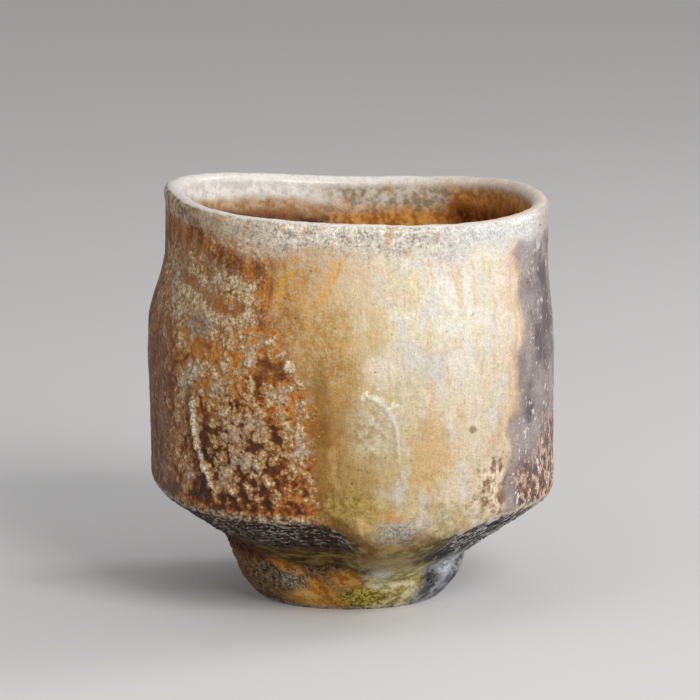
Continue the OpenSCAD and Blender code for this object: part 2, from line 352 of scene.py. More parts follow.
class Socket:
    """One output of a node tree. Arithmetic on it adds Math nodes."""

    def __init__(self, nodes, output):
        self.nodes = nodes
        self.output = output

    def maths(self, operation, *others):
        values = dict(enumerate((self, *others)))
        return self.nodes.add("ShaderNodeMath", {"operation": operation}, values)

    def __add__(self, other):
        return self.maths("ADD", other)

    __radd__ = __add__

    def __sub__(self, other):
        return self.maths("SUBTRACT", other)

    def __rsub__(self, other):
        return self.nodes.add("ShaderNodeMath", {"operation": "SUBTRACT"}, {0: other, 1: self})

    def __mul__(self, other):
        return self.maths("MULTIPLY", other)

    __rmul__ = __mul__

    def __truediv__(self, other):
        return self.maths("DIVIDE", other)

    def __pow__(self, other):
        return self.maths("POWER", other)

    def __neg__(self):
        return self.maths("MULTIPLY", -1)

    def __abs__(self):
        return self.maths("ABSOLUTE")


class Nodes:
    """A node tree, emptied and then filled, for a finish, a light or the relief of a surface."""

    def __init__(self, tree):
        tree.nodes.clear()
        self.tree = tree

    def add(self, kind, settings=None, sockets=None, out=0):
        """Adds a node: settings first, then values or links of its sockets."""
        node = self.tree.nodes.new(kind)
        for name, value in (settings or {}).items():
            if name == "stops":
                self.set_stops(node.color_ramp, value)
            else:
                setattr(node, name, value)
        for key, value in (sockets or {}).items():
            entry = node.inputs[key]
            if isinstance(value, Socket):
                self.tree.links.new(value.output, entry)
            else:
                entry.default_value = value
        return Socket(self, node.outputs[out]) if node.outputs else None

    @staticmethod
    def set_stops(ramp, stops):
        while len(ramp.elements) < len(stops):
            ramp.elements.new(0.5)
        for element, (position, *colour) in zip(ramp.elements, stops):
            element.position = position
            element.color = tint(*colour)

    def attribute(self, name, vector=False):
        if self.tree.bl_idname == "GeometryNodeTree":
            kind = {"data_type": "FLOAT_VECTOR" if vector else "FLOAT"}
            return self.add("GeometryNodeInputNamedAttribute", kind, {"Name": name})
        out = "Vector" if vector else "Fac"
        return self.add("ShaderNodeAttribute", {"attribute_name": name}, out=out)

    def vector(self, operation, *values):
        return self.add("ShaderNodeVectorMath", {"operation": operation}, dict(enumerate(values)))

    def split(self, vector):
        return [self.add("ShaderNodeSeparateXYZ", None, {0: vector}, out) for out in range(3)]

    def rise(self, value, low, high, start=0.0, end=1.0):
        """From start at low to end at high, eased at both."""
        settings = {"interpolation_type": "SMOOTHSTEP"}
        sockets = {"Value": value, "From Min": low, "From Max": high, "To Min": start, "To Max": end}
        return self.add("ShaderNodeMapRange", settings, sockets)

    def fall(self, value, low, high):
        """From 1 at low to 0 at high, eased at both."""
        return self.rise(value, low, high, 1.0, 0.0)

    def band(self, value, low, high, soft):
        return self.rise(value, low - soft, low + soft) * self.fall(value, high - soft, high + soft)

    def mixed(self, share, *colours):
        """A colour between two, each a socket or in the photograph's steps."""
        first, second = (c if isinstance(c, Socket) else tint(*c) for c in colours)
        settings = {"data_type": "RGBA", "clamp_factor": True}
        return self.add("ShaderNodeMix", settings, {0: share, 6: first, 7: second}, 2)

    def dappled(self, value, low, high, first, second):
        """The first colour where a value is under low, turning to the second where it is over high."""
        return self.mixed(self.rise(value, low, high), first, second)

    def lit(self, colour, share):
        """A colour made lighter or darker by a share around 1."""
        grey = self.add("ShaderNodeCombineColor", {"mode": "RGB"}, {0: share, 1: share, 2: share})
        settings = {"data_type": "RGBA", "blend_type": "MULTIPLY"}
        return self.add("ShaderNodeMix", settings, {0: 1.0, 6: colour, 7: grey}, 2)

    def ramp(self, value, *stops):
        """Colours along a value; each stop is a place and a colour in the photograph's steps."""
        return self.add("ShaderNodeValToRGB", {"stops": stops}, {0: value})


EVEN = (1, 1, 1)
# How far two seeds lie apart in the noise, for noise in space and on the slanted wall
SEED_STEP, SLANTED_STEP = (17.3, 5.1, 9.7), (3.7, 1.9)
# Where the crust is thicker or thinner: a patch by its bearing, height, half turn, half height, softness
# and raggedness, and its share
CRUST_PATCHES = (
    ((-37, 53, 15, 11), 0.08),
    ((-43, 73.5, 17, 7, 0.5, 0.5), 0.26),
    ((-26, 35, 15, 10), 0.06),
    ((-51, 59.5, 4, 2.4), -0.3),
    ((-22, 58.5, 5, 3, 0.5, 1.6), -0.3),
    ((-45, 62, 4, 2.2), -0.4),
    ((-42.5, 46, 2.6, 8, 0.5, 0.5), -0.2),
    ((-46, 31.5, 4, 2.0), -0.3),
    ((-32, 43, 8, 4.5), -0.06),
    ((-19, 29.5, 7, 4), -0.1),
)


def swing(*sizes, **settings):
    """A noise that swings about 0, made when it is first asked for."""
    return cached_property(lambda surface: surface.noise(*sizes, **settings) - 0.5)


class Surface(Nodes):
    """What varies over the cup, from each point's place before it has any relief."""

    # Unevenness, from the widest to the finest
    broad = swing(16, 2.0, seed=1)
    middling = swing(7, 2.0, seed=2)
    small = swing(2.6, 2.0, seed=4)
    mottle = swing(1.4, 3.0, seed=26, rough=0.6)
    grain = swing(0.62, 2.0, seed=5, rough=0.6)
    grit = swing(0.34, 1.0, seed=27)
    # Streaks down the wall, as melted ash runs, wide, plain and fine
    wide_runs = swing(4.2, 3.0, (1, 1, 0.2), seed=7)
    runs = swing(1.5, 3.0, (1, 1, 0.13), seed=6)
    hair = swing(0.5, 2.0, (1, 1, 0.2), seed=30)
    # Drag marks of the knife along the cuts, and lumps of crust torn along by it
    scratches = swing(1.0, 3.0, (0.2, 0.2, 1.5), seed=11, rough=0.65)
    drags = swing(1.0, 3.0, (0.6, 0.6, 1.5), seed=29, rough=0.65)

    def __init__(self, tree):
        super().__init__(tree)
        self.place = self.attribute("place", vector=True)
        self.above_edge = self.attribute("above_edge")
        self.below_lip = self.attribute("below_lip")
        self.turn_in = self.attribute("turn_in")

    @cached_property
    def axes(self):
        return self.split(self.place)

    @cached_property
    def height(self):
        return self.axes[2]

    @cached_property
    def bearing(self):
        turn = self.axes[0].maths("ARCTAN2", -self.axes[1])
        return turn * math.degrees(1)

    def at(self, size, stretch=EVEN, seed=0, drift=None):
        """Places measured in steps of one size, drifted and moved off the other fields."""
        place = self.vector("ADD", self.place, drift) if drift else self.place
        place = self.vector("MULTIPLY", place, tuple(s / size for s in stretch))
        return self.vector("ADD", place, tuple(seed * step for step in SEED_STEP))

    def noise_on(self, place, detail=2.0, rough=0.5):
        sockets = {"Vector": place, "Scale": 1.0, "Detail": detail, "Roughness": rough}
        return self.add("ShaderNodeTexNoise", None, sockets)

    def noise(self, size, detail=2.0, stretch=EVEN, seed=0, rough=0.5):
        return self.noise_on(self.at(size, stretch, seed), detail, rough)

    def cells(self, size, seed=0, drift=None, feature="F1"):
        sockets = {"Vector": self.at(size, EVEN, seed, drift), "Scale": 1.0}
        return self.add("ShaderNodeTexVoronoi", {"feature": feature}, sockets, "Distance")

    def slanted(self, lean, wide, long, seed):
        """Places on the unrolled wall, in steps across and along a slanting direction."""
        cos, sin = math.cos(math.radians(lean)), math.sin(math.radians(lean))
        arc = self.bearing * math.radians(REACHES[0])
        across = (arc * cos - self.height * sin) / wide + seed * SLANTED_STEP[0]
        along = (arc * sin + self.height * cos) / long
        return self.add("ShaderNodeCombineXYZ", None, {0: across, 1: along, 2: seed * SLANTED_STEP[1]})

    @cached_property
    def drift(self):
        """A slow sideways pull that keeps the edges of the zones from running straight."""
        level, upright = ((self.noise(5, 3.0, seed=seed) - 0.5) * 4 for seed in (3, 31))
        return self.add("ShaderNodeCombineXYZ", None, {0: level, 1: level, 2: upright})

    @cached_property
    def drip_lines(self):
        """Short leaning drips under the lip."""
        return self.noise_on(self.slanted(-14, 1.5, 6, 4), 3.0) - 0.5

    @cached_property
    def loose_bearing(self):
        """The bearing with a ragged edge of a few degrees."""
        return self.bearing + self.middling * 9 + self.small * 5 + self.mottle * 3

    @cached_property
    def loose_height(self):
        return self.height + self.middling * 5 + self.small * 3 + self.mottle * 2

    def right_of(self, low, high):
        """From 0 at one bearing to 1 at another, raggedly; left_of is the reverse."""
        return self.rise(self.loose_bearing, low, high)

    def left_of(self, low, high):
        return self.fall(self.loose_bearing, low, high)

    def sector(self, low, high, soft):
        """1 between two bearings, with ragged edges."""
        return self.band(self.loose_bearing, low, high, soft)

    def above(self, low, high):
        """From 0 at one height to 1 at another, raggedly; below is the reverse."""
        return self.rise(self.loose_height, low, high)

    def below(self, low, high):
        return self.fall(self.loose_height, low, high)

    def belt(self, low, high, soft):
        """1 between two heights, with ragged edges."""
        return self.band(self.loose_height, low, high, soft)

    @cached_property
    def torn(self):
        """Unevenness that tears the edge of a spot."""
        return self.middling * 0.9 + self.small * 1.3 + self.mottle * 1.1

    def patch(self, bearing, height, half_turn, half_height, soft=0.5, ragged=1.0):
        """A spot with its middle at a bearing and a height, and a ragged soft edge."""
        across = (self.bearing - bearing) / half_turn
        up = (self.height - height) / half_height
        reach = (across * across + up * up).maths("SQRT")
        return self.fall(reach + self.torn * ragged, 1 - soft, 1 + soft)

    @cached_property
    def spotted_edge(self):
        """Bearing at which the spotted left face gives way to the cream front face."""
        return self.rise(self.height, 48, 78) * -14 - 10

    @cached_property
    def dark_edge(self):
        """Bearing at which the cream front face gives way to the dark right face."""
        return self.rise(self.height, 25, 75) * 9 + self.rise(self.height, 82, 90) * 4 + 46

    @cached_property
    def front(self):
        """1 to the right of the spotted face."""
        past = self.bearing + self.small * 9 + self.middling * 4 + self.mottle * 6
        return self.rise(past - self.spotted_edge, -1.4, 1.4)

    @cached_property
    def past_dark_edge(self):
        scallops = (self.height * (math.tau / 13.5) + self.broad * 9).maths("SINE") * 1.3
        ragged = self.middling * 5 + self.small * 3 + self.mottle * 1.5
        return self.bearing - self.dark_edge + scallops + ragged

    @cached_property
    def dark(self):
        """1 on the dark right face."""
        return self.rise(self.past_dark_edge, -2.0, 2.6) * self.left_of(126, 150)

    @cached_property
    def spotted(self):
        """1 on the spotted left face, fading towards the back."""
        return (1 - self.front) * self.right_of(-150, -118)

    @cached_property
    def cream(self):
        """1 on the cream front face."""
        return self.front * (1 - self.dark) * self.left_of(60, 75)

    @cached_property
    def under(self):
        """1 on the knife cuts under the shoulder."""
        torn = self.above_edge + self.grain * 0.8 + self.small * 0.8
        return self.fall(torn, -0.9, 0.1)

    @cached_property
    def lumps(self):
        """The separate grains that a piece of crust is made of."""
        return self.cells(0.95, seed=9)

    @cached_property
    def beads(self):
        """Inside the rounded drops that the crust gathers in: 0 at the seams between them."""
        return self.cells(2.9, seed=32, drift=self.drift, feature="DISTANCE_TO_EDGE")

    @cached_property
    def crust_level(self):
        """Above 0 the ash has crusted over; below it the bare clay shows, the lower the deeper."""
        blots = self.cells(2.8, seed=8, drift=self.drift)
        level = 0.175 + self.beads * 0.8 - blots * 0.5 - (self.lumps - 0.5) * 0.16 + self.mottle * 0.3
        level = level + self.middling * 0.6 + self.small * 0.2
        for patch, share in CRUST_PATCHES:
            level = level + self.patch(*patch) * share
        level = level - self.left_of(-66, -50) * 0.1 + self.knob * 0.9 + self.high_left * 0.2
        return level - self.belt(26.5, 30.0, 1.0) * 0.16

    @cached_property
    def high_left(self):
        """The paler field high on the left flank."""
        return self.patch(-69, 75, 15, 10)

    @cached_property
    def knob(self):
        """A grain of melted ash that stands up at the edge of the front face."""
        return self.patch(-16.8, 60, 1.6, 1.4, ragged=0.4)

    @cached_property
    def crusted(self):
        return self.rise(self.crust_level, -0.05, 0.05)

    @cached_property
    def crust(self):
        return self.crusted * self.spotted * (1 - self.under)

    @cached_property
    def rust_run(self):
        """The bare rust streak that comes down from the left lip and turns down beside the front face."""
        dip = self.rise(self.bearing, -56, -27) * 6
        across = abs(self.loose_height + dip - 86.4)
        level = self.fall(across + self.mottle * 2, 0.6, 3.8) * self.band(self.bearing, -95, -25.5, 2.5)
        down = abs(self.bearing + self.small * 5 + self.mottle * 4 + 24.5)
        return level.maths("MAXIMUM", self.fall(down, 0.4, 4.2) * self.belt(68, 81, 4))

    @cached_property
    def weal_off(self):
        """Millimetres from the middle of the raised cream ridge on the left face."""
        bend = ((52 - self.height).maths("MAXIMUM", 0.0) / 21.5) ** 2.2
        return (self.bearing + 47 - bend * 9 + self.small * 1.6 + self.mottle * 1.2) * 0.77

    @cached_property
    def weal(self):
        return self.fall(abs(self.weal_off), 0.3, 1.0) * self.band(self.height, 31, 51.5, 0.9)

    @cached_property
    def weal_shade(self):
        """The groove just left of the ridge, and the painted shade that darkens it."""
        return self.fall(abs(self.weal_off + 1.6), 0.4, 1.5) * self.band(self.height, 31.5, 53, 2)

    @cached_property
    def scar_reach(self):
        """1 on the outline of the round kiln scar on the front face, less inside it."""
        across = abs(self.bearing - 2) / 12
        up = abs(self.height - 38) / 15.2
        ragged = self.small * 0.12 + self.mottle * 0.08
        return (across ** 2.6 + up ** 2.6) ** (1 / 2.6) + ragged

    @cached_property
    def scar_rim(self):
        line = self.fall(abs(self.scar_reach - 1), 0.01, 0.06)
        return line * self.right_of(1, 6) * self.above(36, 41)

    @cached_property
    def right_drags(self):
        """Lumps of crust torn along by the knife on the right cut, where they lean."""
        return self.noise_on(self.slanted(52, 0.7, 2.0, 3), 3.0, 0.6) - 0.5

    @cached_property
    def right_cut(self):
        """1 on the right knife cut, fading where the cut behind takes over."""
        return self.right_of(27, 36) * self.left_of(108, 162)

    @cached_property
    def flecks(self):
        """Small slanting pale flecks blown onto the dark face."""
        spread = self.noise_on(self.slanted(14, 0.9, 2.1, 1), 2.0, 0.55)
        spread = spread + (self.noise(6, 2.0, seed=13) - 0.5) * 0.4
        chosen = self.rise(self.past_dark_edge, 1, 5) * self.fall(self.bearing, 80, 110) * self.dark
        return self.rise(spread + self.grit * 0.1, 0.64, 0.7) * chosen

    @cached_property
    def scorched(self):
        """The rusty lower part of the dark face, thick with pale flecks."""
        slope = self.loose_height + self.broad * 26 - self.bearing.maths("MINIMUM", 80) * 0.55
        late = 1 - self.right_of(74, 116) * 0.5
        return self.dark * self.fall(slope, -7, 15) * self.rise(self.past_dark_edge, 2, 8) * late

    @cached_property
    def scorched_flecks(self):
        spread = self.noise(1.5, 3.0, stretch=(1, 1, 0.6), seed=33, rough=0.65) + self.small * 0.4
        spread = spread - self.rise(self.bearing, 74, 104) * 0.09
        return self.rise(spread + self.grain * 0.3, 0.5, 0.6) * self.scorched

    @cached_property
    def lumpy(self):
        """The rough corner low on the right of the front face."""
        return self.patch(44, 30, 7.5, 6.5)


def layered(coats):
    """A colour from a function that yields a ground, then each coat over it as a share and a colour."""

    def colour_of(s):
        rest = coats(s)
        colour = next(rest)
        for share, coat in rest:
            colour = s.mixed(share, colour, coat)
        return colour

    return colour_of


def relief_tree(name, height_of):
    """A node group that moves each point out along its own normal by a height in millimetres."""
    tree = bpy.data.node_groups.new(name, "GeometryNodeTree")
    tree.interface.new_socket("Geometry", in_out="INPUT", socket_type="NodeSocketGeometry")
    tree.interface.new_socket("Geometry", in_out="OUTPUT", socket_type="NodeSocketGeometry")
    s = Surface(tree)
    start = s.add("NodeGroupInput")
    amount = height_of(s) * s.attribute("relief") * MM
    outwards = {0: s.attribute("outward", vector=True), "Scale": amount}
    offset = s.add("ShaderNodeVectorMath", {"operation": "SCALE"}, outwards)
    moved = s.add("GeometryNodeSetPosition", None, {"Geometry": start, "Offset": offset})
    s.add("NodeGroupOutput", None, {0: moved})
    return tree


def clay_relief(s):
    """Paddled flats, knife drags, crust and grain of the clay's outside."""
    dome = s.rise(s.crust_level, -0.06, 0.3) * 0.42 * s.spotted * s.rise(s.bearing, -100, -66) + s.knob * 0.5
    left = s.fall(s.bearing, 0, 12) + s.rise(s.bearing, 120, 150)
    torn = s.rise(s.drags, 0, 0.14) * left + s.rise(s.right_drags, 0, 0.14) * s.right_cut
    cut = s.under * (s.scratches * 0.5 + s.small * 0.3 + torn * 0.25)
    upper = (1 - s.under) * (s.small * 0.3 + s.mottle * 0.16 + dome)
    blown = s.flecks * 0.16 + s.scorched_flecks * 0.14 + s.lumpy * s.small * 1.1
    scar = s.weal * 0.6 - s.weal_shade * 0.18 + s.scar_rim * 0.2
    return paddled(s) + cut + upper + blown + s.grain * 0.07 + scar


def paddled(s):
    """The broad unevenness left by the paddle."""
    return s.broad * 0.9 + s.wide_runs * 0.2


def ash_cover(s):
    """Thickness of the ash glaze over the clay, less than nothing outside its ragged edge."""
    left = s.right_of(-73, -64)
    right = s.fall(s.past_dark_edge, -5, 0.8)
    top = s.rise(s.below_lip + s.middling * 2, 4.5, 10)
    foot = s.rise(s.above_edge + s.small * 1.2, 0.3, 5)
    inside = left * right * top * foot
    thick = ASH_COAT * 0.7 + s.wide_runs * 0.14
    return inside * (thick + 0.12) - 0.12


def ash_relief(s):
    return clay_relief(s) + ash_cover(s)


def wall_under_ash(s):
    """The clay's relief, held down where the ash glaze lies over it."""
    covered = s.rise(ash_cover(s), 0.02, 0.2)
    return clay_relief(s) * (1 - covered) + paddled(s) * covered - covered * 0.12


def liner_relief(s):
    """Finger rings of the throwing, an uneven lip and a soft skin."""
    ring = (s.height * (math.tau / 5.2) + s.broad * 5).maths("SINE")
    low = s.rise(s.below_lip, 6, 16)
    lip = s.fall(s.below_lip, 3, 7) * (s.middling * 0.5 + s.small * 0.22)
    return ring * low * 0.13 + lip + s.small * 0.12 + s.grain * 0.05


def foot_relief(s):
    """Trimming and wear of the foot and the neck."""
    drag = s.scratches * 0.4
    notch = s.patch(52, 0.2, 3.2, 1.5, ragged=0.3)
    groove = s.band(s.height + s.small * 1.2, 11.6, 13.0, 0.6) * s.band(s.bearing, -32, 6, 4)
    return drag + s.middling * 0.6 + s.small * 0.4 + s.grain * 0.07 - notch * 0.9 - groove * 0.55


@layered
def spotted_colour(s):
    """Cream crust with orange edges over rust and dark brown clay."""
    charred = s.patch(-31, 38.5, 18, 11)
    # Darker where charred and towards the left flank; the darkening to the left is partly painted shade.
    deep = charred * 0.34 + s.left_of(-64, -48) * 0.1
    glow = s.above(50, 60) * 0.08 + s.right_of(-30, -14) * 0.08
    depth = s.crust_level - deep + glow + s.mottle * 0.4 + s.grain * 0.15
    clay = s.ramp(
        s.rise(depth, -0.72, 0.1),
        (0.0, 52, 30, 14),
        (0.4, 92, 49, 17),
        (0.66, 134, 75, 25),
        (0.86, 168, 104, 38),
        (1.0, 194, 132, 62),
    )
    clay = s.mixed(s.patch(-45, 62, 3.4, 2.0) * 0.7, clay, (200, 136, 56))
    clay = s.mixed(s.patch(-22, 58.5, 6, 3.4, soft=0.9, ragged=1.6) * 0.55, clay, (92, 54, 24))
    # Lighter in the middle of each bead and grain and darker at their edges: painted shading of their
    # rounded tops, over the crust's own speckle.
    ash = s.ramp(
        0.38 - charred * 0.07 + (0.5 - s.lumps) * 0.4 + s.crust_level * 0.6 + s.grain * 0.6 + s.grit * 0.4,
        (0.2, 124, 79, 34),
        (0.36, 156, 116, 68),
        (0.54, 184, 156, 114),
        (0.78, 222, 208, 180),
    )
    ash = s.mixed(s.patch(-46, 67, 4.5, 3) * 0.6, ash, (134, 130, 120))
    ash = s.mixed(s.rise(s.middling, 0, 0.2) * 0.3, ash, (178, 176, 172))
    worn = s.rise(s.small + s.mottle * 0.7 + s.middling * 0.6, -0.04, 0.18) * s.patch(-44, 74, 18, 9)
    ash = s.mixed(worn * 0.75, ash, (134, 92, 50))
    clay = s.mixed(s.patch(-10, 45, 5, 5) * 0.75, clay, (158, 108, 42))
    yield s.mixed(s.crusted, clay, ash)
    ring = abs((((s.bearing + 35) / 4.5) ** 2 + ((s.height - 73.5) / 2.6) ** 2).maths("SQRT") - 1)
    ring = s.fall(ring + s.mottle * 0.5, 0.1, 0.5) * s.fall(s.height + s.bearing * 0.3, 62, 65)
    yield ring * 0.8, (146, 88, 36)
    stroke = abs(s.height - 77 + (s.bearing + 56) * 0.28 + s.torn * 2.4)
    yield s.fall(stroke, 0.5, 2.0) * s.sector(-60, -36, 3) * 0.8, (150, 96, 42)
    left = s.left_of(-66, -52)
    brown = s.dappled(s.runs + s.grain * 0.5, -0.12, 0.12, (60, 29, 8), (132, 80, 37))
    yield left * (0.62 - s.high_left * 0.45), brown


@layered
def cream_coats(s):
    """The melted ash of the front face, ochre at the left and nearly white at the right."""
    swept = s.bearing + s.wide_runs * 16 + s.runs * 10 + s.middling * 12 + s.mottle * 8
    high = s.ramp(
        s.rise(swept, -40, 68),
        (0.1, 164, 116, 50),
        (0.26, 194, 154, 86),
        (0.36, 206, 182, 134),
        (0.48, 224, 212, 182),
        (0.76, 236, 232, 222),
        (0.92, 232, 218, 198),
    )
    deep = s.ramp(
        s.rise(swept, -40, 68),
        (0.1, 116, 72, 18),
        (0.24, 136, 94, 34),
        (0.36, 170, 142, 84),
        (0.5, 188, 168, 128),
        (0.76, 214, 198, 168),
        (0.92, 200, 178, 148),
    )
    yield s.mixed(s.below(28, 80), high, deep)
    pale = s.rise(s.small + s.mottle * 0.8 + s.middling * 0.5, -0.08, 0.18) * s.left_of(0, 14)
    yield pale * s.above(46, 66) * 0.4, (202, 184, 146)
    burnt = s.rise(s.mottle + s.grain * 0.8, -0.04, 0.16) * s.left_of(-4, 12)
    yield burnt * 0.55, (156, 112, 50)
    pith = s.fall(s.mottle + s.grain * 0.8, -0.14, 0) * s.left_of(0, 16)
    yield pith * s.above(40, 60) * 0.35, (220, 206, 174)
    warm = s.rise(s.noise(2.8, 3.0, stretch=(1, 1, 0.3), seed=17), 0.52, 0.66)
    yield warm * 0.4, (212, 174, 120)
    cool = s.rise(s.noise(3.6, 3.0, stretch=(1, 1, 0.45), seed=18), 0.52, 0.66)
    yield cool * s.right_of(-2, 16) * 0.5, (208, 210, 210)
    lemon = s.rise(s.noise(5, 3.0, seed=19), 0.5, 0.68)
    yield lemon * s.right_of(-4, 14) * 0.32, (206, 202, 140)
    yield s.patch(0, 79, 10, 6, soft=0.9) * 0.55, (222, 202, 180)
    yield s.patch(23, 41, 6, 10) * 0.5, (206, 160, 94)
    yield s.patch(9, 59.5, 5, 3.4) * 0.5, (238, 224, 216)
    yield s.patch(25, 59, 4, 3) * 0.5, (204, 210, 216)
    amber = s.rise(s.runs + s.mottle * 0.7, -0.06, 0.1) * s.belt(74, 83.5, 3)
    yield amber * s.sector(-25, -5, 3) * 0.75, (218, 158, 56)
    streak = abs(s.bearing + 3.6 - (s.height - 81.5) * 0.45 + s.small * 1.6)
    yield s.fall(streak, 0.1, 1.2) * s.band(s.height, 78.5, 84.5, 1.2) * 0.7, (208, 152, 56)
    drips = s.rise(s.drip_lines + s.mottle * 0.3, 0.06, 0.16) * s.belt(79, 89, 3)
    yield drips * s.sector(-6, 40, 4) * 0.6, (222, 172, 96)
    green = s.patch(-5, 28.5, 12, 3.4) * 0.75 + s.patch(27, 26, 8, 2.6) * 0.5
    yield green * 0.75, s.dappled(s.mottle + s.grain * 0.5, -0.14, 0.12, (116, 92, 26), (166, 148, 74))
    olive = s.fall(abs(s.bearing + 8.5 + s.small * 3), 0.8, 3.4) * s.band(s.height, 30, 60, 5)
    yield olive * 0.75, (134, 96, 24)
    inside = s.fall(s.scar_reach, 0.9, 1.0) * s.above(28, 42) * s.right_of(-5, 3)
    yield inside * 0.3, (170, 154, 112)
    milky = s.patch(6, 46, 5, 6.5, soft=0.9) * s.rise(s.mottle + s.small * 0.6, -0.16, 0.12)
    yield milky * 0.65, (212, 208, 196)
    yield s.scar_rim * 0.8, (216, 214, 206)
    crystals = s.rise(s.mottle, 0.04, 0.12) * (s.patch(6, 54.5, 5, 2.2) + s.patch(12, 50.5, 3.4, 1.8))
    yield crystals * 0.8, (238, 236, 206)
    tongue = s.below(19, 25) * s.sector(-8, 34, 4)
    khaki = s.dappled(s.small + s.mottle * 0.7, -0.14, 0.14, (110, 86, 42), (148, 122, 74))
    yield tongue * 0.9, khaki
    # A dark brown streak down the left flank of the front ridge: partly the clay's colour, partly painted
    # shade.
    flank = abs((s.height - 24) + (s.bearing + 3) * 0.7 + s.torn * 2)
    yield s.fall(flank, 0.8, 2.8) * s.sector(-6, 9, 2) * 0.75, (100, 68, 28)
    blue = s.patch(14, 22.6, 6, 2.4, soft=0.9) * s.rise(s.small + s.scratches * 1.2, -0.14, 0)
    yield blue * 0.8, s.dappled(s.grain + s.scratches * 0.8, -0.14, 0.14, (86, 93, 102), (160, 168, 176))
    yield s.patch(12, 26, 3.4, 1.4, soft=0.8) * 0.45, (206, 140, 62)
    # A pale strip along the corner to the dark face: partly painted highlight on the corner, partly streaked
    # glaze.
    edge = s.band(s.past_dark_edge, -4.5, 0.6, 1.2)
    yield edge * 0.28, s.dappled(s.runs + s.hair * 0.4, -0.1, 0.1, (232, 208, 176), (198, 142, 74))
    yield s.patch(36, 44.6, 1.2, 0.8) * 0.65, (112, 66, 34)
    specks = s.fall(s.cells(2.6, seed=20) + s.grit * 0.1, 0.05, 0.13)
    yield specks * s.rise(s.noise(8, 1.0, seed=21), 0.5, 0.6) * 0.7, (110, 70, 38)
    rough = s.dappled(s.mottle + s.runs * 0.7 + s.small * 0.6, -0.2, 0.16, (116, 78, 46), (230, 214, 188))
    yield s.lumpy * 0.85, rough


def cream_colour(s):
    """The same with its hair-fine streaks."""
    face = cream_coats(s)
    return s.lit(face, 1 + (s.hair * 0.42 + s.mottle * 0.2) * s.sector(-10, 60, 8))


@layered
def dark_colour(s):
    """The grey-purple right face, with pale flecks and a rusty lower part."""
    hazy = s.rise(s.noise(9, 3.0, seed=22) + s.runs * 0.2, 0.34, 0.66)
    yield s.mixed(hazy, (102, 92, 95), (164, 154, 154))
    late = s.rise(s.loose_bearing + s.broad * 40, 78, 118)
    yield late * 0.75, s.dappled(s.middling + s.mottle * 0.5, -0.2, 0.2, (92, 70, 56), (146, 124, 104))
    yield s.fall(s.past_dark_edge, 0, 8) * 0.5, (180, 164, 158)
    rusty = s.dappled(s.small + s.mottle * 0.5, -0.1, 0.12, (92, 72, 66), (152, 104, 78))
    yield s.scorched, rusty
    yield s.flecks * 0.9, (230, 218, 206)
    yield s.scorched_flecks * 0.85, (226, 204, 180)


def back_colour(s):
    """Brown clay behind, with blown ash that thins towards the right."""
    clay = s.dappled(s.middling + s.mottle * 0.4, -0.2, 0.2, (84, 52, 34), (136, 86, 48))
    clay = s.mixed(s.rise(s.broad + s.small * 0.3, -0.14, 0.18) * 0.6, clay, (112, 94, 78))
    blown = s.broad * 0.5 + s.middling * 0.6 + s.height * 0.004
    ash = s.rise(blown + s.mottle * 0.5 + s.grain * 0.4, 0.09, 0.41)
    return s.mixed(ash * 0.7, clay, s.dappled(s.mottle, -0.14, 0.12, (140, 116, 86), (190, 172, 142)))


@layered
def lip_band_colour(s):
    """The speckled grey band under the lip, with a painted highlight on its right."""
    yield s.ramp(
        0.5 + s.grain + s.small * 0.6 + s.mottle * 0.6,
        (0.26, 150, 148, 146),
        (0.4, 194, 186, 174),
        (0.56, 216, 208, 192),
        (0.72, 236, 232, 224),
    )
    ochre = s.rise(s.noise(3, 2.0, stretch=(1, 1, 0.6), seed=24), 0.55, 0.64)
    yield ochre * 0.5, (200, 150, 84)
    # A painted highlight: the band turns bluish white towards the right.
    yield s.right_of(14, 44) * 0.6, (228, 232, 236)
    yield s.left_of(-50, -10) * 0.6, (178, 150, 112)
    yield s.right_of(58, 74) * 0.7, (182, 166, 156)
    worn = s.dappled(s.small + s.mottle * 0.8, -0.14, 0.1, (112, 68, 36), (190, 160, 122))
    yield s.left_of(-68, -36) * 0.9, worn
    behind = s.dappled(s.small + s.mottle * 0.8, -0.14, 0.14, (134, 104, 72), (170, 146, 112))
    yield s.rise(abs(s.loose_bearing), 112, 146), behind


@layered
def under_colour(s):
    """The knife cuts: charred and dragged, their near-black partly painted shade, ochre on the front ridge.
    """
    # Near-black of the cuts under the shoulder: partly charred clay, partly painted shade.
    dark = s.dappled(s.mottle + s.scratches * 0.8, -0.1, 0.12, (30, 17, 9), (70, 48, 32))
    tawny = s.dappled(s.mottle, -0.1, 0.12, (30, 10, 2), (96, 50, 14))
    dark = s.mixed(s.sector(-136, -38, 8) * s.below(16, 20), dark, tawny)
    olive = s.dappled(s.scratches, -0.08, 0.1, (74, 50, 12), (142, 118, 62))
    low = s.fall(s.loose_height + s.bearing * 0.03, 14.5, 17.5) * s.sector(-38, 50, 12)
    yield s.mixed(low * 0.9, dark, olive)
    lumps = s.rise(s.drags + s.grain * 0.3, 0, 0.12) * s.above(16, 21)
    yield lumps * s.sector(-50, 50, 10) * 0.85, (176, 170, 160)
    slate = s.dappled(s.mottle + s.scratches * 0.8, -0.12, 0.1, (36, 33, 32), (102, 98, 96))
    yield s.right_cut, slate
    yield s.rise(s.right_drags, 0.02, 0.1) * s.right_cut * 0.9, (224, 218, 212)
    khaki = s.dappled(s.small + s.mottle * 0.7, -0.14, 0.14, (98, 80, 36), (154, 140, 94))
    ridge_face = s.band(s.loose_bearing + s.torn * 4, 0, 30, 4)
    yield ridge_face, khaki
    yield s.patch(6, 16.5, 4, 1.8) * 0.6, (126, 70, 32)
    yield s.patch(15, 14, 8, 2.2, soft=0.8) * 0.7, (178, 160, 112)
    shade = s.patch(32, 14.5, 9, 1.8) + s.patch(42, 12.5, 8, 1.6)
    yield shade * 0.8, (48, 46, 40)


